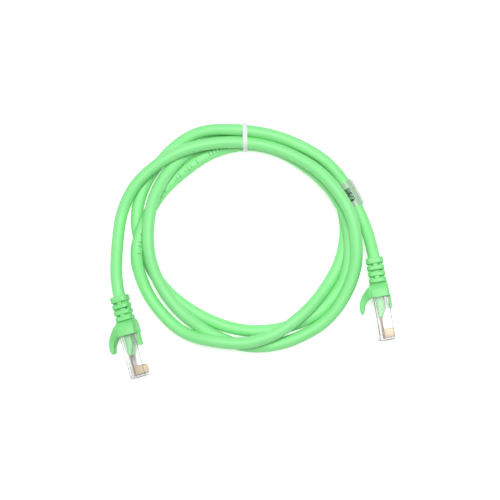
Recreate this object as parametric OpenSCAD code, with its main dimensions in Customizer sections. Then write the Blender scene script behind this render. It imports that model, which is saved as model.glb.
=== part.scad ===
// Coiled ethernet patch cable: two clear 8P8C plugs with snagless boots, four twisted pairs, a tie and a label.

/* [Cable] */
// outer diameter of the jacket, mm
cable_d = 5; // [4.5:0.1:6]
// wall of the jacket, mm
jacket_wall = 0.55; // [0.4:0.05:0.8]
// diameter of one twisted pair, mm
pair_d = 1.5; // [1.2:0.1:1.6]
// diameter of one insulated wire inside a plug, mm
wire_d = 0.84; // [0.8:0.02:0.96]

/* [Plug] */
// length of the clear housing, mm
plug_l = 21.7; // [21:0.1:22]
// width of the clear housing, mm
plug_w = 11.7; // [11.5:0.1:11.8]
// distance between neighbouring contacts, mm
contact_pitch = 1.02; // [1:0.01:1.04]
// thickness of one contact blade, mm
blade_t = 0.35; // [0.3:0.05:0.4]
// width of the release tab, mm
tab_w = 3.3; // [3:0.1:3.6]

/* [Boot] */
// width of the guard hood over the release latch, mm
hood_w = 6.4; // [5:0.1:8]
// length of one strain relief ring along the cable, mm
ring_l = 1.6; // [1:0.1:1.8]

/* [Tie and label] */
// width of the tie along the cable, mm
tie_w = 2; // [1.5:0.1:3]
// length of the label along the cable, mm
label_l = 11.6; // [8:0.1:12]

/* [View] */
// which piece to draw

/* [Hidden] */
$fn = 48;
coil_mid = [-3, 5];
// the cable's route: bearing about coil_mid in degrees, radius and height in mm; outer turn first
turn_1 = [
  [198, 56, 7.9], [190, 54.4, 6.2], [170, 53.1, 3.2], [160, 52.1, 5.3], [150, 50.7, 7.2], [130, 46.4, 9.2],
  [110, 42.7, 8.3], [90, 40.6, 8.5], [70, 40.3, 8.1], [50, 41, 9.6], [40, 41.6, 11.2], [30, 42.5, 12.3],
  [10, 45.2, 12.6], [-10, 47, 10.5], [-20, 47.6, 8.3], [-30, 47.8, 6.2], [-40, 47.9, 4.9], [-50, 47.5, 3.3],
  [-70, 46, 2.5], [-90, 44.4, 2.5], [-110, 41.6, 3.5], [-130, 40.6, 6.6], [-150, 40.1, 7.7],
];
turn_2 = [
  [190, 40.3, 10.2], [170, 40.5, 11.4], [150, 42.2, 8.3], [130, 43.8, 4.6], [120, 44.1, 3.4],
  [110, 44.9, 2.7], [90, 45.7, 3.4], [70, 45.6, 3], [50, 45, 2.5], [40, 44.2, 2.5], [30, 43.6, 2.5],
  [10, 42.9, 2.5], [-10, 41, 2.5], [-20, 39.9, 2.5], [-30, 39.1, 3], [-40, 39.1, 4.9], [-50, 39.4, 6.7],
  [-70, 41.4, 7.8], [-90, 43.6, 7.9], [-110, 44.9, 7.2], [-120, 46.2, 4.7], [-130, 46.6, 2.6], [-150, 46.5, 2.5],
];
turn_3 = [
  [190, 46.3, 6.3], [180, 44.2, 7.6], [170, 42.5, 6.4], [150, 40.7, 2.5], [130, 38.9, 2.5], [120, 39.1, 2.5],
  [110, 39.9, 2.6], [90, 40.7, 3.4], [70, 40.5, 3], [50, 40.2, 4.3], [40, 40.6, 6.1], [30, 41.5, 7.3],
  [10, 43.5, 7.6], [-10, 44.3, 6.3], [-20, 44.6, 4.2], [-30, 44.2, 2.5], [-40, 43.5, 2.5], [-50, 42.6, 2.5],
  [-70, 39.7, 2.5], [-90, 37.9, 2.5], [-110, 36.7, 2.5], [-130, 37.1, 2.5], [-150, 39.4, 2.5],
];
turn_4 = [
  [190, 42.1, 2.5], [170, 46.5, 2.5], [150, 48.5, 2.5], [130, 49.5, 2.7], [120, 49.6, 4.8], [110, 49, 6.7],
  [90, 45.6, 8.6], [70, 45.3, 8.1], [50, 46.5, 7.4], [40, 47.5, 6.3], [30, 48.1, 5], [20, 48.5, 4.6],
  [10, 50, 4.5], [0, 52, 6.2],
];
function on_floor(p) = [coil_mid[0] + p[1] * cos(p[0]), coil_mid[1] + p[1] * sin(p[0]), p[2]];
route = [for (turn = [turn_1, turn_2, turn_3, turn_4]) for (p = turn) on_floor(p)];

// where each plug lies: the boot's cable end, turn on the floor, nose-down tilt, roll about the cable
left_at = [-55, -19, 8.04];
left_turn = [10, 3.03, -74.4];
right_at = [50.5, -3, 7.91];
right_turn = [6, 3.04, -80.9];
function turned(a, v) = [
  v[0] * cos(a[1]) * cos(a[2]) + v[1] * (sin(a[0]) * sin(a[1]) * cos(a[2]) - cos(a[0]) * sin(a[2]))
  + v[2] * (cos(a[0]) * sin(a[1]) * cos(a[2]) + sin(a[0]) * sin(a[2])),
  v[0] * cos(a[1]) * sin(a[2]) + v[1] * (sin(a[0]) * sin(a[1]) * sin(a[2]) + cos(a[0]) * cos(a[2]))
  + v[2] * (cos(a[0]) * sin(a[1]) * sin(a[2]) - sin(a[0]) * cos(a[2])),
  -v[0] * sin(a[1]) + v[1] * sin(a[0]) * cos(a[1]) + v[2] * cos(a[0]) * cos(a[1]),
];
module at_left() {
  translate(left_at) rotate(left_turn) children();
}
module at_right() {
  translate(right_at) rotate(right_turn) children();
}

// a ring of a swept tube: middle, unit vector across, unit vector up, half size across, half size up
// the jacket is pressed flat inside each plug: distance along the plug, shift, half size across, half size up
flat_end = [[24.9, -1.25, 0.9, 4.2], [23, -1, 1.3, 4.1], [20.5, -0.55, 1.7, 3.6], [16.2, -0.5, 1.75, 3.3],
  [12.8, 0, 2.5, 2.5], [6, 0, 2.5, 2.5], [0, 0, 2.5, 2.5]];
function plug_rings(at, a, side) = [
  for (f = flat_end) [at + turned(a, [f[0], f[1], 0]), turned(a, [0, side, 0]), turned(a, [0, 0, 1]), f[2], f[3]]
];
function flat_side(v) = [v[1], -v[0], 0] / norm([v[0], v[1]]);
function unit(v) = v / norm(v);
function route_ring(i) = let(
  ahead = i == len(route) - 1 ? right_at : route[i + 1],
  behind = i == 0 ? left_at : route[i - 1],
  along = unit(unit(ahead - route[i]) + unit(route[i] - behind)),
  across = flat_side(along)
) [route[i], across, cross(across, along), cable_d / 2, cable_d / 2];
function reversed(a) = [for (i = [len(a) - 1 : -1 : 0]) a[i]];
left_rings = plug_rings(left_at, left_turn, 1);
right_rings = reversed(plug_rings(right_at, right_turn, -1));
free_rings = [for (i = [0 : len(route) - 1]) route_ring(i)];
cable_rings = concat(left_rings, free_rings, right_rings);

// points of one ring, grown by g; sides runs round it
function ring_points(r, g, sides) = [
  for (k = [0 : sides - 1]) let(a = 360 * (k + 0.5) / sides)
    r[0] + r[1] * (r[3] + g) * cos(a) + r[2] * (r[4] + g) * sin(a)
];
// an open-ended hollow tube through rings
module hollow_tube(rings, wall, sides) {
  n = len(rings);
  outer = [for (r = rings) each ring_points(r, 0, sides)];
  inner = [for (r = rings) each ring_points(r, -wall, sides)];
  o = n * sides;
  last = (n - 1) * sides;
  out_a = [for (i = [0 : n - 2]) for (k = [0 : sides - 1]) let(k2 = (k + 1) % sides)
    [i * sides + k, (i + 1) * sides + k, i * sides + k2]];
  out_b = [for (i = [0 : n - 2]) for (k = [0 : sides - 1]) let(k2 = (k + 1) % sides)
    [i * sides + k2, (i + 1) * sides + k, (i + 1) * sides + k2]];
  in_a = [for (f = out_a) [f[0] + o, f[2] + o, f[1] + o]];
  in_b = [for (f = out_b) [f[0] + o, f[2] + o, f[1] + o]];
  end_a = [for (k = [0 : sides - 1]) let(k2 = (k + 1) % sides) [k, k2, k2 + o]];
  end_b = [for (k = [0 : sides - 1]) let(k2 = (k + 1) % sides) [k, k2 + o, k + o]];
  far_a = [for (k = [0 : sides - 1]) let(k2 = (k + 1) % sides) [last + k, last + k2 + o, last + k2]];
  far_b = [for (k = [0 : sides - 1]) let(k2 = (k + 1) % sides) [last + k, last + k + o, last + k2 + o]];
  polyhedron(concat(outer, inner), concat(out_a, out_b, in_a, in_b, end_a, end_b, far_a, far_b));
}
// a solid rod through rings
module solid_rod(rings, sides) {
  n = len(rings);
  skin = [for (r = rings) each ring_points(r, 0, sides)];
  last = (n - 1) * sides;
  a = [for (i = [0 : n - 2]) for (k = [0 : sides - 1]) let(k2 = (k + 1) % sides)
    [i * sides + k, (i + 1) * sides + k, i * sides + k2]];
  b = [for (i = [0 : n - 2]) for (k = [0 : sides - 1]) let(k2 = (k + 1) % sides)
    [i * sides + k2, (i + 1) * sides + k, (i + 1) * sides + k2]];
  near = [for (k = [1 : sides - 2]) [0, k, k + 1]];
  far = [for (k = [1 : sides - 2]) [last, last + k + 1, last + k]];
  polyhedron(skin, concat(a, b, near, far));
}

module cable_jacket() {
  color("#8de69a") hollow_tube(cable_rings, jacket_wall, 8);
}

// the four twisted pairs lie round the jacket's middle, from plug to plug
pair_off = 1.05;
function pair_rings(bearing) = [
  for (i = [4 : len(cable_rings) - 5]) let(r = cable_rings[i])
    [r[0] + (r[1] * cos(bearing) + r[2] * sin(bearing)) * pair_off, r[1], r[2], pair_d / 2 - 0.05, pair_d / 2 - 0.05]
];
module orange_pair() {
  color("#ef8a3c") solid_rod(pair_rings(45), 6);
}
module green_pair() {
  color("#3a9a4a") solid_rod(pair_rings(135), 6);
}
module blue_pair() {
  color("#3c6fc4") solid_rod(pair_rings(225), 6);
}
module brown_pair() {
  color("#8a5a3c") solid_rod(pair_rings(315), 6);
}

// plug pieces: x along the plug to its nose, y towards the contacts, z up
nose = 12.8 + plug_l;
wire_y = -1.25;
module block(x0, x1, y0, y1, z) {
  translate([x0, y0, -z]) cube([x1 - x0, y1 - y0, 2 * z]);
}
module profile(points, z) {
  translate([0, 0, -z]) linear_extrude(2 * z) polygon(points);
}
module pin_hole(x, y, r, z) {
  translate([x, y, -z]) cylinder(h = 2 * z, r = r);
}

module plug_housing() {
  difference() {
    union() {
      block(12.8, nose, -3.1, 3.3, plug_w / 2);
      block(32.3, nose, -3.9, -3, 3.1);
    }
    profile([[12.7, -2.7], [15.5, -2.4], [21, -2.4], [25.2, -1.75], [25.2, -0.7], [21, 1.35], [16, 1.35],
      [12.7, 2.7]], 4.5);
    block(24.8, 33.9, wire_y - 0.5, wire_y + 0.5, 4.15);
    for (k = [0 : 7]) translate([0, 0, (k - 3.5) * contact_pitch])
      block(29.7, 33.5, -0.9, 3.4, blade_t / 2 + 0.05);
    block(16.6, 22, 2.1, 3.4, 2.4);
    block(27.8, 32.4, -3.2, -2.6, 3.3);
    pin_hole(33.2, -3.5, 0.46, 3.2);
    block(32.2, 33.2, -4, -3.1, 3.2);
  }
}
module plug_housing_left() {
  color("#e8f0f2") at_left() plug_housing();
}
module plug_housing_right() {
  color("#e8f0f2") at_right() plug_housing();
}

module release_latch() {
  union() {
    pin_hole(33.2, -3.5, 0.4, 3);
    profile([[33.2, -3.9], [33.2, -3.35], [30.4, -3.3], [28.6, -3.9], [28.6, -4.75], [30.4, -4.1]], 3);
    profile([[28.7, -3.87], [28.7, -4.7], [20.4, -6.85], [20.4, -6.05]], tab_w / 2);
  }
}
module release_latch_left() {
  color("#e8f0f2") at_left() release_latch();
}
module release_latch_right() {
  color("#e8f0f2") at_right() release_latch();
}

// a rounded ring of the strain relief, round the cable
module relief_ring(x, l) {
  translate([x, 0, 0]) rotate([90, 0, 90]) linear_extrude(l) union() {
    square([7.2, 5.2], center = true);
    square([4.2, 8.4], center = true);
    for (a = [-2.1, 2.1]) for (b = [-2.1, 2.1]) translate([a, b + sign(b) * 0.5]) circle(1.5);
  }
}
module cable_boot() {
  difference() {
    union() {
      relief_ring(0, 2.5);
      relief_ring(3.5, ring_l);
      relief_ring(6.1, ring_l);
      relief_ring(8.7, ring_l);
      block(2.4, 3.6, -1.3, 1.3, 4);
      block(5, 6.2, -3.5, 3.5, 1.6);
      block(7.6, 8.8, -1.3, 1.3, 4);
      block(10.2, 11.5, -3.5, 3.5, 1.6);
      translate([11.4, 0, 0]) rotate([90, 0, 90]) linear_extrude(5) union() {
        square([5.4, 13.6], center = true);
        square([7.8, 11.2], center = true);
        for (a = [-2.7, 2.7]) for (b = [-5.6, 5.6]) translate([a, b]) circle(1.2);
      }
      block(12.2, 15, -4.8, -3.8, hood_w / 2);
      block(16, 21.6, 3.4, 4.2, 1.9);
      block(18.4, 21.5, 2.5, 3.6, 1.9);
    }
    translate([-0.1, 0, 0]) rotate([0, 90, 0]) cylinder(h = 13, r = cable_d / 2 + 0.05);
    block(12.8, 16.5, -3.15, 3.35, plug_w / 2 + 0.05);
    pin_hole(13.6, -4.8, 0.8, hood_w / 2 + 0.1);
  }
}
module cable_boot_left() {
  color("#7fdc8c") at_left() cable_boot();
}
module cable_boot_right() {
  color("#7fdc8c") at_right() cable_boot();
}

// the hood that guards the release tab; it bends at its root on the boot
module boot_hood() {
  union() {
    pin_hole(13.6, -4.8, 0.75, hood_w / 2);
    profile([[12.2, -5], [13.2, -6.3], [14.9, -7.5], [16.7, -8.45], [18, -8.95], [19.5, -9.2], [22.5, -8.9],
      [22.6, -7.8], [19.9, -7.15], [18, -6.35], [16.5, -5.85], [15, -5.38], [14.2, -5.12]], hood_w / 2);
  }
}
module boot_hood_left() {
  color("#7fdc8c") at_left() boot_hood();
}
module boot_hood_right() {
  color("#7fdc8c") at_right() boot_hood();
}

module contact_blades() {
  for (k = [0 : 7]) translate([0, 0, (k - 3.5) * contact_pitch - blade_t / 2]) linear_extrude(blade_t) union() {
    translate([29.9, -0.8]) square([3.3, 3.8]);
    translate([30.4, 2.6]) square([2.3, 0.65]);
  }
}
module contact_blades_left() {
  color("#e3c069") at_left() contact_blades();
}
module contact_blades_right() {
  color("#e3c069") at_right() contact_blades();
}

// one wire of a plug: two rows inside the jacket, one row at the contacts
function wire_ring(x, y, z) = [[x, y, z], [0, 1, 0], [0, 0, 1], wire_d / 2, wire_d / 2];
module plug_wire(k) {
  near_y = -0.5 + (k % 2 == 0 ? -0.5 : 0.5);
  near_z = (k - 3.5) * 0.6;
  far_z = (k - 3.5) * contact_pitch;
  solid_rod([wire_ring(13.4, near_y, near_z), wire_ring(19, near_y, near_z), wire_ring(23.6, wire_y, far_z),
    wire_ring(33.6, wire_y, far_z)], 6);
}
module white_orange_left() {
  color("#f6e3d2") at_left() plug_wire(0);
}
module orange_left() {
  color("#ef8a3c") at_left() plug_wire(1);
}
module white_green_left() {
  color("#dcefdc") at_left() plug_wire(2);
}
module blue_left() {
  color("#3c6fc4") at_left() plug_wire(3);
}
module white_blue_left() {
  color("#dbe4f4") at_left() plug_wire(4);
}
module green_left() {
  color("#3a9a4a") at_left() plug_wire(5);
}
module white_brown_left() {
  color("#eee2da") at_left() plug_wire(6);
}
module brown_left() {
  color("#8a5a3c") at_left() plug_wire(7);
}
module white_orange_right() {
  color("#f6e3d2") at_right() plug_wire(0);
}
module orange_right() {
  color("#ef8a3c") at_right() plug_wire(1);
}
module white_green_right() {
  color("#dcefdc") at_right() plug_wire(2);
}
module blue_right() {
  color("#3c6fc4") at_right() plug_wire(3);
}
module white_blue_right() {
  color("#dbe4f4") at_right() plug_wire(4);
}
module green_right() {
  color("#3a9a4a") at_right() plug_wire(5);
}
module white_brown_right() {
  color("#eee2da") at_right() plug_wire(6);
}
module brown_right() {
  color("#8a5a3c") at_right() plug_wire(7);
}

// the tie goes round the four strands at bearing 90; it is drawn in the y-z plane
tie_x = coil_mid[0];
low_in = [coil_mid[1] + 40.7, 3.4];
low_out = [coil_mid[1] + 45.7, 3.4];
top_in = [coil_mid[1] + 40.6, 8.5];
top_out = [coil_mid[1] + 45.6, 8.6];
module round_strands(r) {
  hull() {
    for (p = [low_in, low_out, top_in, top_out]) translate(p) circle(r, $fn = 32);
  }
}
module tie_loop(r0, r1, w) {
  translate([tie_x - w / 2, 0, 0]) rotate([90, 0, 90]) linear_extrude(w) difference() {
    round_strands(r1);
    round_strands(r0);
  }
}
tail_y = coil_mid[1] + 43.2;
module tail(y, r) {
  translate([tie_x, tail_y, 0.72]) rotate([0, 90, -8]) translate([0, y, 0]) cylinder(h = 9, r = r);
}
module tie_sheath() {
  color("#fbfbfa") difference() {
    union() {
      tie_loop(2.52, 2.95, tie_w);
      tie_loop(2.6, 3.4, 0.9);
      tail(-0.42, 0.45);
      tail(0.42, 0.45);
    }
    tie_loop(2.79, 3.21, 0.42);
    tail(-0.42, 0.21);
    tail(0.42, 0.21);
  }
}
module tie_wire() {
  color("#a9adb0") union() {
    tie_loop(2.8, 3.2, 0.4);
    tail(-0.42, 0.2);
    tail(0.42, 0.2);
  }
}

// the label is wrapped round the last strand, with its two ends stuck together as a flag
label_mid = on_floor([22.5, 48.2, 4.6]);
label_along = 296;
module at_label() {
  translate(label_mid) rotate([0, 0, label_along]) children();
}
module label_film() {
  color("#eaf6ee") at_label() translate([-label_l / 2, 0, 0]) rotate([90, 0, 90]) linear_extrude(label_l) union() {
    difference() {
      circle(2.95);
      circle(2.75);
    }
    translate([2.9, -0.2]) square([1.3, 0.4]);
  }
}
module label_patch() {
  color("#39463d") at_label() translate([-label_l / 2 + 3, 0, 0]) rotate([90, 0, 90]) linear_extrude(5.9)
  intersection() {
    difference() {
      circle(3.05);
      circle(2.96);
    }
    polygon([[0.4, 0], [0.4, 4], [-3.2, 4], [-3.2, 1.2]]);
  }
}

cable_jacket();
orange_pair();
green_pair();
blue_pair();
brown_pair();
plug_housing_left();
release_latch_left();
cable_boot_left();
boot_hood_left();
contact_blades_left();
white_orange_left();
orange_left();
white_green_left();
blue_left();
white_blue_left();
green_left();
white_brown_left();
brown_left();
plug_housing_right();
release_latch_right();
cable_boot_right();
boot_hood_right();
contact_blades_right();
white_orange_right();
orange_right();
white_green_right();
blue_right();
white_blue_right();
green_right();
white_brown_right();
brown_right();
tie_sheath();
tie_wire();
label_film();
label_patch();
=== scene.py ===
import math

import bpy
import bmesh
from mathutils import Euler, Matrix, Vector


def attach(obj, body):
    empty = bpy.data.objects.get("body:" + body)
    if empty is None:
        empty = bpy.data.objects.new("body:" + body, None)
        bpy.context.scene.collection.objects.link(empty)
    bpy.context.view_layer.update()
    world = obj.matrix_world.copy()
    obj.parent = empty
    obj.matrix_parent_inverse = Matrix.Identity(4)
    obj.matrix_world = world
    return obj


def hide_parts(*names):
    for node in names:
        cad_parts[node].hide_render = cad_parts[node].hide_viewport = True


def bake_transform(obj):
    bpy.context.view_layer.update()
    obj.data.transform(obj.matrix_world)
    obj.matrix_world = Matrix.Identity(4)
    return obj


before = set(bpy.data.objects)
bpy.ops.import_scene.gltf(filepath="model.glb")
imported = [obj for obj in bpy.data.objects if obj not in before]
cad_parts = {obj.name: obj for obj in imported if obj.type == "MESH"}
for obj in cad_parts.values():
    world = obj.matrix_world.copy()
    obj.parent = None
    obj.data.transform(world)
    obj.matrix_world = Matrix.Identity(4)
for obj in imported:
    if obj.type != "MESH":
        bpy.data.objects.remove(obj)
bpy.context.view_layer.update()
MM = 0.001

# ---- Table, lamps and camera ----
# The coil lies on a plain white light table, lit a little from below, under a wide soft light.
# The camera looks almost straight down from the side where the plugs point.


class Flow:
    """A value that runs through a finish's nodes, so that sums on it add Math nodes."""

    def __init__(self, finish, socket):
        self.finish, self.socket = finish, socket

    def sum(self, operation, first, second):
        return self.finish.node("Math", {"operation": operation}, {0: first, 1: second})

    def __add__(self, other):
        return self.sum("ADD", self, other)

    def __sub__(self, other):
        return self.sum("SUBTRACT", self, other)

    def __rsub__(self, other):
        return self.sum("SUBTRACT", other, self)

    def __mul__(self, other):
        return self.sum("MULTIPLY", self, other)

    def __lt__(self, other):
        return self.sum("LESS_THAN", self, other)

    def __gt__(self, other):
        return self.sum("GREATER_THAN", self, other)

    __radd__, __rmul__ = __add__, __mul__

    def shaped(self, operation):
        """A Math node that takes one value, such as FRACT or SINE."""
        return self.finish.node("Math", {"operation": operation}, {0: self})


class Finish:
    """One material: a Principled surface and the nodes that feed it."""

    def __init__(self, name, **constants):
        self.material = bpy.data.materials.new(name)
        self.material.use_nodes = True
        self.tree = self.material.node_tree
        self.surface = self.tree.nodes["Principled BSDF"]
        for socket, value in constants.items():
            self.surface.inputs[socket.replace("_", " ")].default_value = value

    def node(self, kind, settings, sockets, output=0):
        made = self.tree.nodes.new("ShaderNode" + kind)
        for name, value in settings.items():
            if name == "stops":
                ramp = made.color_ramp
                while len(ramp.elements) < len(value):
                    ramp.elements.new(0.5)
                for stop, (place, colour) in zip(ramp.elements, value):
                    stop.position, stop.color = place, colour
            else:
                setattr(made, name, value)
        for name, value in sockets.items():
            self.feed(value, made.inputs[name])
        return Flow(self, made.outputs[output])

    def feed(self, value, socket):
        if isinstance(value, Flow):
            self.tree.links.new(value.socket, socket)
        else:
            socket.default_value = value

    def place(self, scale=1.0):
        """Object coordinates in metres, times a scale."""
        here = self.node("TexCoord", {}, {}, 3)
        return self.node("VectorMath", {"operation": "SCALE"}, {0: here, "Scale": scale})

    def tube_place(self):
        """How far round a swept tube, in turns, and how far along it, in metres."""
        parts = self.node("SeparateXYZ", {}, {0: self.node("UVMap", {"uv_map": "UVMap"}, {})})
        return parts, Flow(self, parts.socket.node.outputs[1])

    def noise(self, where, scale, detail=3.0):
        return self.node("TexNoise", {}, {"Vector": where, "Scale": scale, "Detail": detail})

    def between(self, share, first, second):
        """A colour between two colours."""
        return self.node("Mix", {"data_type": "RGBA"}, {0: share, 6: first, 7: second}, 2)

    def set(self, socket, value):
        self.feed(value, self.surface.inputs[socket])

    def bump(self, height, distance, strength):
        sockets = {"Height": height, "Distance": distance, "Strength": strength}
        self.set("Normal", self.node("Bump", {}, sockets))


def chosen(*pieces):
    """Selects these pieces and nothing else; the first is the active one."""
    bpy.ops.object.select_all(action="DESELECT")
    for piece in pieces:
        piece.select_set(True)
    if pieces:
        bpy.context.view_layer.objects.active = pieces[0]


def placed(name, data):
    """A new object in the scene with this mesh, light or camera."""
    made = bpy.data.objects.new(name, data)
    bpy.context.scene.collection.objects.link(made)
    return made


table_finish = Finish("white_table", Roughness=0.6, Specular_IOR_Level=0.2,
                      Emission_Strength=0.4, Emission_Color=(1, 1, 1, 1))
grain = table_finish.noise(table_finish.place(), 90.0)
white = table_finish.between(grain, (0.9, 0.9, 0.9, 1), (0.94, 0.94, 0.94, 1))
table_finish.set("Base Color", white)
TABLE_TOP = -0.0001
chosen()
bpy.ops.mesh.primitive_plane_add(size=3, location=(0, 0, TABLE_TOP))
table = bpy.context.object
table.name = "table"
table.data.materials.append(table_finish.material)

bpy.context.scene.view_settings.view_transform = "Standard"
world = bpy.data.worlds.new("studio")
bpy.context.scene.world = world
world.use_nodes = True
background = world.node_tree.nodes["Background"]
background.inputs["Color"].default_value = (1, 1, 1, 1)
background.inputs["Strength"].default_value = 0.16


def lamp(name, place, size, power):
    """A square soft light that faces the middle of the coil."""
    light = bpy.data.lights.new(name, "AREA")
    light.size, light.energy = size, power
    lamp_object = placed(name, light)
    lamp_object.location = place
    lamp_object.rotation_euler = (-Vector(place)).to_track_quat("-Z", "Y").to_euler()


lamp("overhead_softbox", (0.05, 0.12, 0.95), 0.5, 10.6)
lamp("left_softbox", (-0.8, -0.1, 0.7), 0.4, 1.0)

look_at = Vector((-0.96, 0.6, 5)) * MM
CAMERA_BACK = 0.65
SEEN_WIDTH = 0.2083
tilt = math.radians(83)
camera_data = bpy.data.cameras.new("camera")
camera_data.sensor_width = 36
camera_data.lens = camera_data.sensor_width * CAMERA_BACK / SEEN_WIDTH
camera = placed("camera", camera_data)
camera.location = look_at + CAMERA_BACK * Vector((0, -math.cos(tilt), math.sin(tilt)))
camera.rotation_euler = (look_at - camera.location).to_track_quat("-Z", "Y").to_euler()
bpy.context.scene.camera = camera

# ---- Cable jacket ----
# A soft green PVC tube, 5 mm across, about a metre long between the boots and wound three and a
# half turns. Each end is pressed flat inside its plug, where the wires come out of it.
CABLE_R = 2.5
WALL = 0.55
coil_mid = Vector((-3, 5, 0))
# each turn is a row of bearings in degrees, distances from the middle and heights
turns = (
    ((198, 56, 7.9), (190, 54.4, 6.2), (170, 53.1, 3.2), (160, 52.1, 5.3), (150, 50.7, 7.2),
     (130, 46.4, 9.2), (110, 42.7, 8.3), (90, 40.6, 8.5), (70, 40.3, 8.1), (50, 41, 9.6),
     (40, 41.6, 11.2), (30, 42.5, 12.3), (10, 45.2, 12.6), (-10, 47, 10.5), (-20, 47.6, 8.3),
     (-30, 47.8, 6.2), (-40, 47.9, 4.9), (-50, 47.5, 3.3), (-70, 46, 2.5), (-90, 44.4, 2.5),
     (-110, 41.6, 3.5), (-130, 40.6, 6.6), (-150, 40.1, 7.7)),
    ((190, 40.3, 10.2), (170, 40.5, 11.4), (150, 42.2, 8.3), (130, 43.8, 4.6),
     (120, 44.1, 3.4), (110, 44.9, 2.7), (90, 45.7, 3.4), (70, 45.6, 3), (50, 45, 2.5),
     (40, 44.2, 2.5), (30, 43.6, 2.5), (10, 42.9, 2.5), (-10, 41, 2.5), (-20, 39.9, 2.5),
     (-30, 39.1, 3), (-40, 39.1, 4.9), (-50, 39.4, 6.7), (-70, 41.4, 7.8), (-90, 43.6, 7.9),
     (-110, 44.9, 7.2), (-120, 46.2, 4.7), (-130, 46.6, 2.6), (-150, 46.5, 2.5)),
    ((190, 46.3, 6.3), (180, 44.2, 7.6), (170, 42.5, 6.4), (150, 40.7, 2.5), (130, 38.9, 2.5),
     (120, 39.1, 2.5), (110, 39.9, 2.6), (90, 40.7, 3.4), (70, 40.5, 3), (50, 40.2, 4.3),
     (40, 40.6, 6.1), (30, 41.5, 7.3), (10, 43.5, 7.6), (-10, 44.3, 6.3), (-20, 44.6, 4.2),
     (-30, 44.2, 2.5), (-40, 43.5, 2.5), (-50, 42.6, 2.5), (-70, 39.7, 2.5), (-90, 37.9, 2.5),
     (-110, 36.7, 2.5), (-130, 37.1, 2.5), (-150, 39.4, 2.5)),
    ((190, 42.1, 2.5), (170, 46.5, 2.5), (150, 48.5, 2.5), (130, 49.5, 2.7), (120, 49.6, 4.8),
     (110, 49, 6.7), (90, 45.6, 8.6), (70, 45.3, 8.1), (50, 46.5, 7.4), (40, 47.5, 6.3),
     (30, 48.1, 5), (20, 48.5, 4.6), (10, 50, 4.5), (0, 52, 6.2)),
)


def on_table(bearing, radius, height):
    """A point in mm, from its bearing and distance about the middle of the coil."""
    a = math.radians(bearing)
    return coil_mid + Vector((radius * math.cos(a), radius * math.sin(a), height))


def plug_place(corner, turn):
    """The matrix, in mm, from a plug's own frame: x to its nose, y to its contacts and z up."""
    turned = Euler([math.radians(a) for a in turn]).to_matrix().to_4x4()
    return Matrix.Translation(corner) @ turned


plugs = {"left": plug_place((-55, -19, 8.04), (10, 3.03, -74.4)),
         "right": plug_place((50.5, -3, 7.91), (6, 3.04, -80.9))}


def smooth_line(points, step):
    """A smooth curve through the points, as points about step apart."""
    ends = [2 * points[0] - points[1]] + list(points) + [2 * points[-1] - points[-2]]
    fine = []
    parts = 16
    for a, b, c, d in zip(ends, ends[1:], ends[2:], ends[3:]):
        for k in range(parts):
            t = k / parts
            fine.append(0.5 * (2 * b + (c - a) * t + (2 * a - 5 * b + 4 * c - d) * t * t
                               + (3 * b - a - 3 * c + d) * t ** 3))
    fine.append(points[-1])
    far = [0.0]
    for a, b in zip(fine, fine[1:]):
        far.append(far[-1] + (b - a).length)
    count = max(2, round(far[-1] / step))
    line, k = [], 0
    for i in range(count + 1):
        want = far[-1] * i / count
        while k < len(fine) - 2 and far[k + 1] < want:
            k += 1
        share = (want - far[k]) / max(far[k + 1] - far[k], 1e-9)
        line.append(fine[k].lerp(fine[k + 1], share))
    return line


def eased(line, times):
    """The line with its small kinks eased out; its ends stay."""
    for _ in range(times):
        inside = [(a + 2 * b + c) / 4 for a, b, c in zip(line, line[1:], line[2:])]
        line = [line[0]] + inside + [line[-1]]
    return line


STEP = 1.6
EASINGS = 14
IN_BOOT = 6
left_start = [plugs["left"] @ Vector((x, 0, 0)) for x in (IN_BOOT, 0)]
right_end = [plugs["right"] @ Vector((x, 0, 0)) for x in (0, IN_BOOT)]
route = left_start + [on_table(*p) for turn in turns for p in turn] + right_end
free_line = [Vector((p.x, p.y, max(p.z, CABLE_R)))
             for p in eased(smooth_line(route, STEP), EASINGS)]


def ring_frame(along, up=Vector((0, 0, 1))):
    """Unit vectors across and up a cable that runs along this way."""
    across = along.cross(up).normalized()
    return across, across.cross(along).normalized()


# distance along the plug, shift, half size across, half size up, how square the section is
flat_end = ((24.9, -1.25, 0.85, 4.15, 2.6), (24.3, -1.2, 1.05, 4.2, 2.6),
            (23, -1, 1.35, 4.1, 2.7), (20.5, -0.6, 1.7, 3.7, 3), (18.5, -0.5, 1.75, 3.4, 3.2),
            (16.2, -0.45, 1.78, 3.2, 3), (14.5, -0.2, 2.15, 2.8, 2.4), (12.8, 0, 2.45, 2.5, 2),
            (11, 0, 2.5, 2.5, 2), (8.5, 0, 2.5, 2.5, 2))
UPRIGHT_OVER = 25


def end_rings(side, mirror):
    """The rings of the pressed end inside one plug: middle, across, up, half sizes, squareness."""
    place = plugs[side]
    turn = place.to_3x3()
    across, up = turn @ Vector((0, mirror, 0)), turn @ Vector((0, 0, 1))
    return [(place @ Vector((x, shift, 0)), across, up, a, b, square)
            for x, shift, a, b, square in flat_end]


def jacket_rings():
    """All rings of the jacket from tip to tip; near a plug they lean as the plug does."""
    rings = end_rings("left", 1)
    last = len(free_line) - 1
    for i, point in enumerate(free_line):
        along = (free_line[min(i + 1, last)] - free_line[max(i - 1, 0)]).normalized()
        lean = Vector((0, 0, 1))
        for side, away in (("left", i), ("right", last - i)):
            share = max(0.0, 1 - away * STEP / UPRIGHT_OVER)
            lean = lean.lerp(plugs[side].to_3x3() @ Vector((0, 0, 1)), share)
        across, up = ring_frame(along, lean)
        rings.append((point, across, up, CABLE_R, CABLE_R, 2))
    return rings + end_rings("right", -1)[::-1]


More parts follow.
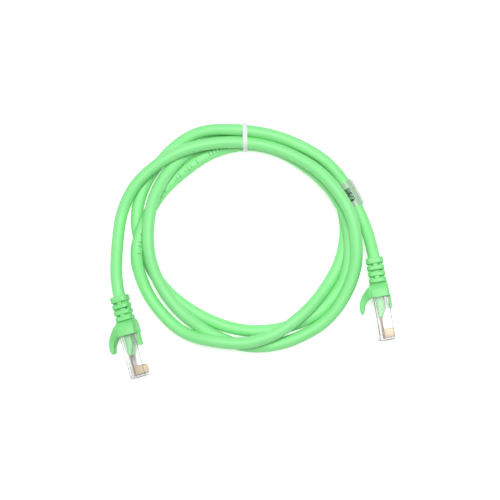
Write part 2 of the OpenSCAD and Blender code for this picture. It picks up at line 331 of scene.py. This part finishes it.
def ring_points(ring, grow, sides):
    """The points of one ring; a squareness over 2 fills out its corners."""
    middle, across, up, a, b, square = ring
    points = []
    for k in range(sides):
        turn = 2 * math.pi * k / sides
        c, s = math.cos(turn), math.sin(turn)
        full = (abs(c) ** square + abs(s) ** square) ** (-1 / square)
        points.append(middle + across * (a + grow) * c * full + up * (b + grow) * s * full)
    return points


def meshed(name, points, faces):
    """A new object made of these points and faces."""
    mesh = bpy.data.meshes.new(name)
    mesh.from_pydata(points, [], faces)
    return placed(name, mesh)


def swept(name, rings, sides, wall=None):
    """A closed tube through the rings, hollow if it has a wall.

    Its UV map runs once round it, and along it in metres.
    """
    skins = [[p for ring in rings for p in ring_points(ring, 0, sides)]]
    if wall:
        skins.append([p for ring in rings for p in ring_points(ring, -wall, sides)])
    points = [p * MM for skin in skins for p in skin]
    count = len(rings)
    inner = count * sides
    faces, around = [], []
    far = [0.0]
    for a, b in zip(rings, rings[1:]):
        far.append(far[-1] + (b[0] - a[0]).length * MM)
    for i in range(count - 1):
        for k in range(sides):
            n = (k + 1) % sides
            low, high = i * sides, (i + 1) * sides
            square = (low + k, high + k, high + n, low + n)
            place = ((k, i), (k, i + 1), (k + 1, i + 1), (k + 1, i))
            faces.append(square)
            around.append(place)
            if wall:
                faces.append(tuple(inner + v for v in square[::-1]))
                around.append(place[::-1])
    for i, turned in ((0, False), (count - 1, True)):
        first = i * sides
        if wall:
            for k in range(sides):
                n = (k + 1) % sides
                square = (first + k, first + n, inner + first + n, inner + first + k)
                faces.append(square[::-1] if turned else square)
                around.append(((k, i), (k + 1, i), (k + 1, i), (k, i))[:: -1 if turned else 1])
        else:
            cap = tuple(range(first, first + sides))
            faces.append(cap[::-1] if turned else cap)
            around.append(tuple((k, i) for k in range(sides)))
    made = meshed(name, points, faces)
    uv = made.data.uv_layers.new(name="UVMap")
    for face, places in zip(made.data.polygons, around):
        for loop, (k, i) in zip(face.loop_indices, places):
            uv.data[loop].uv = (k / sides, far[i])
        face.use_smooth = True
    return made


jacket = swept("jacket", jacket_rings(), 28, WALL)
pvc = Finish("green_pvc", Specular_IOR_Level=0.4, Subsurface_Weight=0.02,
             Subsurface_Scale=0.002, Subsurface_Radius=(0.5, 1.0, 0.5))
jacket_place = pvc.place()
mottle = pvc.noise(jacket_place, 160.0)
broad = pvc.noise(jacket_place, 22.0, 2.0)
jacket_green = pvc.between(mottle, (0.20, 0.68, 0.23, 1), (0.24, 0.74, 0.27, 1))
jacket_green = pvc.between(broad * 0.5, jacket_green, (0.27, 0.77, 0.29, 1))
turn_round, length_on = pvc.tube_place()
# faint grey bars of no meaning run along one side of the jacket in groups, and turn slowly round it
PRINT_FROM, PRINT_TO = 0.598, 0.75
GROUPS_A_METRE, BARS_A_METRE = 55.0, 640.0
from_line = (turn_round - (length_on - 0.643) * 1.6 + 0.28).shaped("FRACT")
from_line = (from_line - 0.5).shaped("ABSOLUTE")
group = (length_on * GROUPS_A_METRE).shaped("FRACT") < 0.7
group = group * (length_on > PRINT_FROM) * (length_on < PRINT_TO)
bar = (length_on * BARS_A_METRE).shaped("FRACT") < 0.42
cell = (length_on * BARS_A_METRE).shaped("FLOOR")
tall = pvc.node("TexWhiteNoise", {"noise_dimensions": "1D"}, {"W": cell})
ink = (from_line < tall * 0.05 + 0.035) * group * bar * (tall > 0.2)
pvc.set("Base Color", pvc.between(ink * 0.5, jacket_green, (0.10, 0.24, 0.12, 1)))
pvc.set("Roughness", mottle * 0.15 + 0.44)
lay = (length_on * 420.0 + turn_round * 2 * math.pi).shaped("SINE")
pvc.bump(lay * 0.35 + pvc.noise(jacket_place, 2600.0, 2.0) * 0.5, 0.00006, 0.6)
jacket.data.materials.append(pvc.material)
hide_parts("cable_jacket")
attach(jacket, "cable")

# ---- Twisted pairs ----
# Four pairs of copper wires lie inside the jacket from plug to plug, each two coloured wires
# twisted together. They are made as one bundle of thin rods that turn round each other and round
# the middle of the cable.
PAIR_OFF = 0.92
TWIST = 14.0
BUNDLE_LAY = 90
STRAND_R = 0.4


def wire_finish(name, colour, stripe=None):
    """Smooth insulation, one colour or white with a coloured stripe along it."""
    finish = Finish(name, Specular_IOR_Level=0.4)
    spots = finish.noise(finish.place(), 700.0)
    lighter = tuple(min(1, c * 1.15 + 0.01) for c in colour[:3]) + (1,)
    paint = finish.between(spots * 0.25, colour, lighter)
    if stripe:
        turn_round, length_on = finish.tube_place()
        side = (turn_round + length_on * 60.0).shaped("FRACT")
        paint = finish.between(side < 0.22, paint, stripe)
    finish.set("Base Color", paint)
    finish.set("Roughness", spots * 0.1 + 0.34)
    return finish


pair_colours = {"orange": (0.86, 0.26, 0.04, 1), "green": (0.04, 0.40, 0.09, 1),
                "blue": (0.04, 0.13, 0.52, 1), "brown": (0.24, 0.09, 0.045, 1)}
cream = (0.86, 0.85, 0.82, 1)
insulation = {}
for name, colour in pair_colours.items():
    insulation[name] = wire_finish(name + "_insulation", colour)
    insulation["white_" + name] = wire_finish("white_" + name + "_insulation", cream, colour)


def joined(pieces):
    """Joins the pieces into the first of them."""
    chosen(*pieces)
    bpy.ops.object.join()
    return pieces[0]


# the pairs end where the jacket is pressed flat
inner_rings = jacket_rings()[7:-7]
for number, pair in enumerate(pair_colours):
    far = 0.0
    strands = ([], [])
    for k, (middle, across, up) in enumerate(ring[:3] for ring in inner_rings):
        if k:
            far += (middle - inner_rings[k - 1][0]).length
        out = math.radians(45 + 90 * number) + far / BUNDLE_LAY
        core = middle + (across * math.cos(out) + up * math.sin(out)) * PAIR_OFF
        twist = 2 * math.pi * far / (TWIST + number)
        for half, strand in enumerate(strands):
            a = twist + math.pi * half
            off = (across * math.cos(a) + up * math.sin(a)) * STRAND_R
            strand.append((core + off, across, up, STRAND_R, STRAND_R, 2))
    wires = [swept(pair + "_pair_wire", strand, 6) for strand in strands]
    for made, name in zip(wires, ("white_" + pair, pair)):
        made.data.materials.append(insulation[name].material)
    twisted = joined(wires)
    twisted.name = pair + "_twisted_pair"
    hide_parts(pair + "_pair")
    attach(twisted, "cable")

# ---- Cable boots with their hoods ----
# A boot is moulded in soft green PVC: slotted rings that bend with the cable, a cup over the back
# of the plug, a tongue with a barb on the contact side, and a springy curved hood that guards the
# release tab.


def block(x, y, z, corner=0.0, along="X", rim=0.0, segments=4):
    """A block between two x, two y and two z, in mm.

    The corner rounds its edges along one axis, and the rim rounds the edges round its ends.
    """
    chosen()
    low, high = Vector((x[0], y[0], z[0])), Vector((x[1], y[1], z[1]))
    bpy.ops.mesh.primitive_cube_add(size=1, location=(low + high) / 2, scale=high - low)
    made = bpy.context.object
    bpy.ops.object.transform_apply()
    axis = "XYZ".index(along)
    for width, lengthwise in ((corner, True), (rim, False)):
        if not width:
            continue
        bpy.ops.object.mode_set(mode="EDIT")
        bpy.ops.mesh.select_mode(type="EDGE")
        bpy.ops.mesh.select_all(action="DESELECT")
        edit = bmesh.from_edit_mesh(made.data)
        for edge in edit.edges:
            a, b = (v.co for v in edge.verts)
            way = (b - a).normalized()
            edge.select = abs(way[axis]) > 0.99 if lengthwise else abs(a[axis] - b[axis]) < 1e-5
        bmesh.update_edit_mesh(made.data)
        bpy.ops.mesh.bevel(offset=width, segments=segments, profile=0.5, affect="EDGES")
        bpy.ops.object.mode_set(mode="OBJECT")
    return made


def drum(radius, x):
    """A round bar along x, in mm."""
    chosen()
    bpy.ops.mesh.primitive_cylinder_add(radius=radius, depth=x[1] - x[0], vertices=40,
                                        location=((x[0] + x[1]) / 2, 0, 0),
                                        rotation=(0, math.pi / 2, 0))
    bpy.ops.object.transform_apply()
    return bpy.context.object


def outward(piece):
    """Turns all faces of the piece outwards."""
    chosen(piece)
    bpy.ops.object.mode_set(mode="EDIT")
    bpy.ops.mesh.select_all(action="SELECT")
    bpy.ops.mesh.normals_make_consistent(inside=False)
    bpy.ops.object.mode_set(mode="OBJECT")


def plate(outline, z):
    """A flat piece with this outline in x and y, between two z, in mm."""
    chosen()
    bpy.ops.mesh.primitive_circle_add(vertices=len(outline), fill_type="NGON")
    made = bpy.context.object
    for vertex, (x, y) in zip(made.data.vertices, outline):
        vertex.co = (x, y, z[0])
    bpy.ops.object.mode_set(mode="EDIT")
    bpy.ops.mesh.select_all(action="SELECT")
    bpy.ops.mesh.extrude_region_move(TRANSFORM_OT_translate={"value": (0, 0, z[1] - z[0])})
    bpy.ops.object.mode_set(mode="OBJECT")
    outward(made)
    return made


def applied(piece, step):
    """Makes a modifier of the piece part of its mesh."""
    chosen(piece)
    bpy.ops.object.modifier_apply(modifier=step.name)


def cut(piece, tool, how="DIFFERENCE"):
    """Takes the tool out of the piece, or welds it on."""
    step = piece.modifiers.new("cut", "BOOLEAN")
    step.operation, step.object, step.solver = how, tool, "EXACT"
    applied(piece, step)
    bpy.data.objects.remove(tool)


def soften(piece, width, segments=2, angle=35, finish=-1):
    """Rounds the sharp edges of the piece; the new faces can have a finish of their own."""
    step = piece.modifiers.new("soften", "BEVEL")
    step.material = finish
    step.width, step.segments, step.angle_limit = width, segments, math.radians(angle)
    applied(piece, step)


def smoothed(piece, angle):
    """Shades the piece smooth, but for edges sharper than the angle in degrees."""
    chosen(piece)
    bpy.ops.object.shade_smooth_by_angle(angle=math.radians(angle))


def fitted(piece, side, name, *finishes):
    """A copy of a finished piece, in metres, at one end of the cable."""
    made = placed(name + "_" + side, piece.data.copy())
    made.data.transform(Matrix.Scale(MM, 4) @ plugs[side])
    for finish in finishes:
        made.data.materials.append(finish.material)
    return made


def sliced(piece, places):
    """Cuts the piece's mesh across x at these places, so that it can be shaped between them."""
    chosen(piece)
    bpy.ops.object.mode_set(mode="EDIT")
    for x in places:
        bpy.ops.mesh.select_all(action="SELECT")
        bpy.ops.mesh.bisect(plane_co=(x, 0, 0), plane_no=(1, 0, 0))
    bpy.ops.object.mode_set(mode="OBJECT")


# the cup flares out of the last ring: x, then its share there of its full size in y and in z
FLARE = ((10.5, 0.92, 0.58), (11, 0.95, 0.72), (11.6, 0.98, 0.83),
         (12.4, 1, 0.92), (13.4, 1, 0.98), (14.4, 1, 1))
boot = block((FLARE[0][0], 16.4), (-3.9, 3.9), (-6.8, 6.8), 1.2)
sliced(boot, [x for x, _, _ in FLARE[1:]])
for vertex in boot.data.vertices:
    _, y_share, z_share = min(FLARE, key=lambda step: abs(step[0] - vertex.co.x))
    vertex.co.y *= y_share
    vertex.co.z *= z_share
# the hood from root to tip: outer x and y, inner x and y, half width
HOOD = ((11.3, -3.2, 16.3, -3.2, 6.3), (11.7, -4.1, 16.35, -3.9, 6.1), (12.3, -4.9, 16.5, -4.4, 5.6),
        (13, -5.7, 16.8, -5, 4.9), (13.9, -6.55, 17.3, -5.6, 4.2), (15, -7.4, 17.9, -6.1, 3.7),
        (16.2, -8.15, 18.6, -6.6, 3.4), (17.5, -8.75, 19.4, -7, 3.2), (18.9, -9.1, 20.3, -7.3, 3.05),
        (20.4, -9.2, 21.2, -7.55, 2.95), (21.7, -9.1, 22, -7.75, 2.85), (22.5, -8.85, 22.6, -8, 2.75))
hood = block((0, len(HOOD) - 1), (0, 1), (-1, 1))
sliced(hood, range(1, len(HOOD) - 1))
for vertex in hood.data.vertices:
    out_x, out_y, in_x, in_y, half = HOOD[round(vertex.co.x)]
    x, y = (out_x, out_y) if vertex.co.y > 0.5 else (in_x, in_y)
    vertex.co = (x, y, half * vertex.co.z)
outward(hood)
soften(hood, 0.45, 3, 50)
cut(boot, hood, "UNION")
for start, end in ((0, 2.5), (3.4, 5.15), (6.0, 7.75), (8.6, 10.35)):
    cut(boot, block((start, end), (-3.6, 3.6), (-4.2, 4.2), 1.9, rim=0.38, segments=5), "UNION")
# webs join the rings, in two gaps above and below as well as at the sides
for x, y, z in (((2.3, 3.6), (-1.0, 1.0), (-3.85, 3.85)), ((2.3, 3.6), (-3.05, 3.05), (-1.9, 1.9)),
                ((4.9, 6.2), (-3.35, 3.35), (-1.9, 1.9)),
                ((7.5, 8.8), (-1.0, 1.0), (-3.85, 3.85)), ((7.5, 8.8), (-3.05, 3.05), (-1.9, 1.9)),
                ((10.1, 11.0), (-3.35, 3.35), (-1.9, 1.9))):
    cut(boot, block(x, y, z, 0.3), "UNION")
cut(boot, block((15.6, 21.6), (3.42, 4.22), (-1.9, 1.9), 0.25), "UNION")
barb = plate(((18.4, 3.7), (21.5, 3.7), (21.5, 3.2), (20.9, 2.55), (18.6, 2.5)), (-1.9, 1.9))
cut(boot, barb, "UNION")
cut(boot, drum(2.56, (-1, 13)))
cut(boot, block((12.8, 17.2), (-3.14, 3.34), (-5.89, 5.89)))
soften(boot, 0.12, 2, 50)
smoothed(boot, 50)

boot_pvc = Finish("boot_pvc", Specular_IOR_Level=0.4, Subsurface_Weight=0.02,
                  Subsurface_Scale=0.002, Subsurface_Radius=(0.5, 1.0, 0.5))
boot_place = boot_pvc.place()
clouds = boot_pvc.noise(boot_place, 240.0)
boot_green = boot_pvc.between(clouds, (0.18, 0.64, 0.20, 1), (0.215, 0.70, 0.235, 1))
boot_pvc.set("Base Color", boot_green)
boot_pvc.set("Roughness", clouds * 0.15 + 0.4)
boot_pvc.bump(boot_pvc.noise(boot_place, 3200.0, 2.0), 0.00004, 0.5)
for side in plugs:
    made = fitted(boot, side, "boot", boot_pvc)
    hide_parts("cable_boot_" + side, "boot_hood_" + side)
    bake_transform(made)
bpy.data.objects.remove(boot)

# ---- Clear plug housings ----
# The housing is one moulding of clear polycarbonate: a body that takes the jacket and the wires,
# eight slots for the contacts, a pocket pressed in to hold the jacket, and the root of the latch
# at its nose.
NOSE = 34.5
PITCH = 1.02
BLADE = 0.35
SLOT_ROOM = 0.06
WIRE_Y = -1.25
clear = Finish("clear_polycarbonate", Specular_IOR_Level=0.6)
haze = clear.noise(clear.place(), 350.0)
clear.set("Roughness", haze * 0.1 + 0.06)
clear.set("Base Color", clear.between(haze, (0.78, 0.80, 0.80, 1), (0.90, 0.91, 0.91, 1)))
clear.set("Alpha", haze * 0.06 + 0.09)
# the edge finish is painted shade: dark grey, part see-through chamfers stand in for the shade that
# bent light lays along the edges of clear plastic
edge = Finish("clear_polycarbonate_painted_edge_shade", Roughness=0.15, Specular_IOR_Level=0.6)
painted_edge_shade_haze = edge.noise(edge.place(), 500.0)
edge.set("Base Color", edge.between(painted_edge_shade_haze, (0.12, 0.12, 0.12, 1), (0.27, 0.27, 0.265, 1)))
edge.set("Alpha", painted_edge_shade_haze * 0.6 + 0.22)


def outlined(piece, width):
    """Gives a clear piece narrow chamfers in the edge finish, whose painted grey shade draws its
    edges as grey lines.
    """
    for finish in (clear, edge):
        piece.data.materials.append(finish.material)
    soften(piece, width, 1, 30, 1)
    return piece


housing = outlined(block((12.8, NOSE), (-3.1, 3.3), (-5.85, 5.85)), 0.3)
cut(housing, outlined(block((32.9, NOSE - 0.2), (-3.9, -2.8), (-3.1, 3.1)), 0.2), "UNION")
jacket_space = plate(((12.0, -2.9), (12.9, -2.75), (15.5, -2.4), (21, -2.4), (25.2, -1.75),
                      (25.2, -0.7), (21, 1.35), (16, 1.35), (12.9, 2.7), (12.0, 2.9)), (-4.5, 4.5))
cut(housing, outlined(jacket_space, 0.16))
cut(housing, outlined(block((24.8, 33.9), (WIRE_Y - 0.5, WIRE_Y + 0.5), (-4.15, 4.15)), 0.14))
for k in range(8):
    z = (k - 3.5) * PITCH
    half = BLADE / 2 + SLOT_ROOM
    cut(housing, block((29.6, 33.6), (-0.9, 3.6), (z - half, z + half)))
pocket = plate(((16.6, 3.8), (16.6, 2.1), (21.2, 2.1), (22.2, 3.8)), (-2.4, 2.4))
cut(housing, outlined(pocket, 0.18))
cut(housing, outlined(block((24.9, 29.0), (2.35, 3.8), (-4.6, 4.6)), 0.18))
cut(housing, outlined(block((27.8, 32.3), (-3.6, -2.6), (-3.3, 3.3)), 0.18))
smoothed(housing, 30)
for side in plugs:
    made = fitted(housing, side, "housing")
    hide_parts("plug_housing_" + side)
    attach(made, "cable")
bpy.data.objects.remove(housing)

# ---- Release latches ----
# The latch is moulded with the housing: wide at its root with two shoulders that lock in the
# jack, then a narrow springy tab that slants out under the hood.
latch = plate(((33.9, -3.85), (33.9, -3.2), (32.3, -3.2), (31.2, -3.22), (30.2, -3.4),
               (28.6, -3.92), (28.6, -4.72), (30.2, -4.12), (31.2, -3.98), (32.3, -3.9)), (-3, 3))
tab = plate(((29.2, -3.75), (20.45, -6.1), (20.45, -6.85), (20.9, -6.85), (29.2, -4.5)),
            (-1.65, 1.65))
cut(latch, tab, "UNION")
outlined(latch, 0.2)
smoothed(latch, 30)
for side in plugs:
    made = fitted(latch, side, "latch")
    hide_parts("release_latch_" + side)
    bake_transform(made)
bpy.data.objects.remove(latch)

# ---- Contact blades ----
# Eight stamped blades stand in the slots, gold plated over phosphor bronze, with rounded tops.
# Each has two teeth at its foot that bite through one wire.
blade = plate(((29.9, -0.7), (29.9, 2.6), (30.15, 2.95), (30.5, 3.15), (31, 3.22), (32.2, 3.22),
               (32.7, 3.15), (33.05, 2.9), (33.2, 2.6), (33.2, -0.7), (32.9, -0.9), (32.6, -1.2),
               (32.3, -0.9), (30.8, -0.9), (30.5, -1.2), (30.2, -0.9)), (-BLADE / 2, BLADE / 2))
soften(blade, 0.05, 2, 60)
smoothed(blade, 35)
copies = [blade]
for k in range(1, 8):
    more = placed("blade", blade.data.copy())
    more.data.transform(Matrix.Translation((0, 0, (k - 3.5) * PITCH)))
    copies.append(more)
blade.data.transform(Matrix.Translation((0, 0, -3.5 * PITCH)))
joined(copies)

gold = Finish("gold_plate", Metallic=0.45)
shine = gold.noise(gold.place(), 1200.0)
gold.set("Base Color", gold.between(shine, (0.50, 0.37, 0.20, 1), (0.64, 0.49, 0.29, 1)))
gold.set("Roughness", shine * 0.2 + 0.42)
for side in plugs:
    made = fitted(blade, side, "contact_blades_gold", gold)
    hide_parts("contact_blades_" + side)
    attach(made, "cable")
bpy.data.objects.remove(blade)

# ---- Wires in the plugs ----
# Inside each plug the pairs open out into eight straight wires in one flat row, brown at the top,
# white with orange at the bottom. Each is copper in smooth coloured insulation.
WIRE_R = 0.42
wire_order = ("white_orange", "orange", "white_green", "blue",
              "white_blue", "green", "white_brown", "brown")
for side, place in plugs.items():
    turn = place.to_3x3()
    across, up = turn @ Vector((0, -1, 0)), turn @ Vector((0, 0, 1))
    for k, name in enumerate(wire_order):
        near = Vector((13.6, -0.5 + (-0.5 if k % 2 == 0 else 0.5), (k - 3.5) * 0.6))
        fanned = Vector((24.2, WIRE_Y, (k - 3.5) * PITCH))
        halfway = fanned.lerp(near, 0.45) + Vector((0.6, 0, 0))
        line = smooth_line([near, near + Vector((4.5, 0, 0)), halfway, fanned,
                            fanned + Vector((3, 0, 0)), Vector((33.6, WIRE_Y, fanned.z))], 0.8)
        rings = [(place @ p, across, up, WIRE_R, WIRE_R, 2) for p in line]
        wire = swept(name + "_wire_" + side, rings, 12)
        wire.data.materials.append(insulation[name].material)
        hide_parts(name + "_" + side)
        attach(wire, "cable")

# ---- Tie ----
# A white twist tie holds the bundle: a flat ribbon of paper and film with a steel wire in its
# rib. Its two ends are twisted together and tucked under the bundle.
strand_mids = [(45.7, 3.4), (45.6, 8.5), (50.6, 8.6), (50.7, 3.4)]
TAIL_STEPS = 36
TAIL_OFF = 0.36


def round_bundle(radius):
    """Points in y and z, in mm, of a line drawn tight round the four strands at this distance."""
    points = []
    steps = 8
    for (y, z), start in zip(strand_mids, (270, 180, 90, 0)):
        for k in range(steps + 1):
            a = math.radians(start - 90 * k / steps)
            points.append(Vector((y, z)) + radius * Vector((math.cos(a), math.sin(a))))
    return points


def ribbon(name, inner, outer, half):
    """A closed band round the bundle, half wide each way, from one distance to another."""
    inside, outside = round_bundle(inner), round_bundle(outer)
    count = len(inside)
    points, faces = [], []
    for k in range(count):
        lean = 0.12 * math.sin(2 * math.pi * k / count + 0.6)
        wave = 0.04 * math.sin(5 * math.pi * 2 * k / count)
        for line, x in ((inside, -half), (outside, -half), (outside, half), (inside, half)):
            points.append(Vector((coil_mid.x + x + lean + wave, line[k].x, line[k].y)) * MM)
    for k in range(count):
        n = (k + 1) % count
        for j in range(4):
            m = (j + 1) % 4
            faces.append((4 * k + j, 4 * k + m, 4 * n + m, 4 * n + j))
    made = meshed(name, points, faces)
    outward(made)
    return made


def tail(name, half, radius, sides):
    """One of the two tails, as a tube twisted round the other under the bundle."""
    swing = Matrix.Rotation(math.radians(-8), 3, "Z")
    line = []
    for k in range(TAIL_STEPS + 1):
        t = k / TAIL_STEPS
        a = 2 * math.pi * t * 3.5 + math.pi * half
        local = Vector((9 * t, TAIL_OFF * math.cos(a), TAIL_OFF * math.sin(a)))
        line.append(swing @ local + Vector((coil_mid.x, 48.2, 0.92)))
    rings = []
    for k, p in enumerate(line):
        along = (line[min(k + 1, TAIL_STEPS)] - line[max(k - 1, 0)]).normalized()
        across, up = ring_frame(along)
        rings.append((p, across, up, radius, radius, 2))
    return swept(name, rings, sides)


tie = ribbon("tie", 2.54, 2.93, 1.0)
rib = ribbon("rib", 2.8, 3.38, 0.42)
tails = [tail("tail", half, 0.42, 12) for half in (0, 1)]
for part in (tie, rib):
    soften(part, 0.09, 2, 30)
joined([tie, rib] + tails)
smoothed(tie, 40)
paper = Finish("tie_paper", Specular_IOR_Level=0.4)
fibres = paper.noise(paper.place(), 1500.0, 4.0)
paper.set("Base Color", paper.between(fibres, (0.66, 0.67, 0.67, 1), (0.76, 0.76, 0.76, 1)))
paper.set("Roughness", fibres * 0.25 + 0.35)
paper.bump(fibres, 0.00004, 0.6)
tie.data.materials.clear()
tie.data.materials.append(paper.material)
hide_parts("tie_sheath")
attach(tie, "cable")

core = ribbon("tie_core", 2.95, 3.22, 0.14)
joined([core] + [tail("core_tail", half, 0.18, 8) for half in (0, 1)])
steel = Finish("drawn_steel", Metallic=1.0, Roughness=0.35)
drawn = steel.noise(steel.place(), 2000.0)
steel.set("Base Color", steel.between(drawn, (0.42, 0.43, 0.44, 1), (0.58, 0.58, 0.58, 1)))
core.data.materials.clear()
core.data.materials.append(steel.material)
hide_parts("tie_wire")
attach(core, "cable")

# ---- Label ----
# A clear film label is wrapped round the last strand, its two ends stuck together as a small flag
# outside. A dark patch of printed dots, which encodes nothing, covers part of its upper side.
last_line = free_line[-120:]
label_mid = on_table(22.5, 48.3, 4.6)
nearest = min(range(len(last_line)), key=lambda k: (last_line[k] - label_mid).length)


def strand_at(distance):
    """Middle, across and up of the last strand, this far in mm past the middle of the label."""
    place = nearest + distance / STEP
    k = int(math.floor(place))
    point = last_line[k].lerp(last_line[k + 1], place - k)
    across, up = ring_frame((last_line[k + 2] - last_line[k - 1]).normalized())
    return point, across, up


def wrap(name, start, end, section, thick):
    """A thin sheet that follows the strand, from angles in degrees and distances in mm."""
    points, faces = [], []
    rows, columns = len(section), 20
    for c in range(columns + 1):
        middle, across, up = strand_at(start + (end - start) * c / columns)
        for layer in (0, thick):
            for angle, distance in section:
                a = math.radians(angle)
                out = across * math.cos(a) + up * math.sin(a)
                points.append((middle + out * (distance + layer)) * MM)
    span = 2 * rows
    for c in range(columns):
        for r in range(rows - 1):
            low, high = c * span + r, (c + 1) * span + r
            faces.append((low, low + 1, high + 1, high))
            faces.append((low + rows, high + rows, high + rows + 1, low + rows + 1))
        for r in (0, rows - 1):
            low, high = c * span + r, (c + 1) * span + r
            faces.append((low, high, high + rows, low + rows))
    for c in (0, columns):
        for r in range(rows - 1):
            low = c * span + r
            faces.append((low, low + rows, low + rows + 1, low + 1))
    made = meshed(name, points, faces)
    outward(made)
    smoothed(made, 50)
    return made


# the sheet goes out along one side of the flag, round the cable and back along the other side
flag = [(177.4, 4.1), (176.8, 3.4), (175, 2.85), (171, 2.62)]
sheet = flag + [(171 - 342 * k / 36, 2.58) for k in range(1, 36)]
sheet += [(-angle, distance) for angle, distance in flag[::-1]]
label = wrap("label", -5.8, 5.8, sheet, 0.1)
film = Finish("label_film_clear", Specular_IOR_Level=0.5, Alpha=0.34)
ripple = film.noise(film.place(), 130.0, 1.0)
film.set("Base Color", film.between(ripple, (0.52, 0.60, 0.55, 1), (0.60, 0.67, 0.62, 1)))
film.set("Roughness", ripple * 0.2 + 0.2)
film.bump(ripple, 0.0001, 0.2)
label.data.materials.append(film.material)
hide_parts("label_film")
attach(label, "cable")

patch = wrap("label_dots", -2.8, 3.1, [(96 - 74 * k / 10, 2.72) for k in range(11)], 0.04)
dots = Finish("printed_dots", Roughness=0.5, Specular_IOR_Level=0.3)
CELLS_A_METRE = 3600.0
cell = dots.node("VectorMath", {"operation": "FLOOR"}, {0: dots.place(CELLS_A_METRE)})
specks = dots.node("TexWhiteNoise", {"noise_dimensions": "3D"}, {"Vector": cell}) > 0.66
dots.set("Base Color", dots.between(specks, (0.02, 0.04, 0.025, 1), (0.24, 0.40, 0.28, 1)))
patch.data.materials.append(dots.material)
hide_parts("label_patch")
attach(patch, "cable")

# ---- The cord as a whole ----
# The jacket with its plugs is one free cord, stored as a coil. It leaves the left plug and ends
# in the right one, and the tie and the label go with it. The code here only gathers the points
# of its middle line, from tip to tip, in metres.
cord_line = [r[0] * MM for r in jacket_rings()]
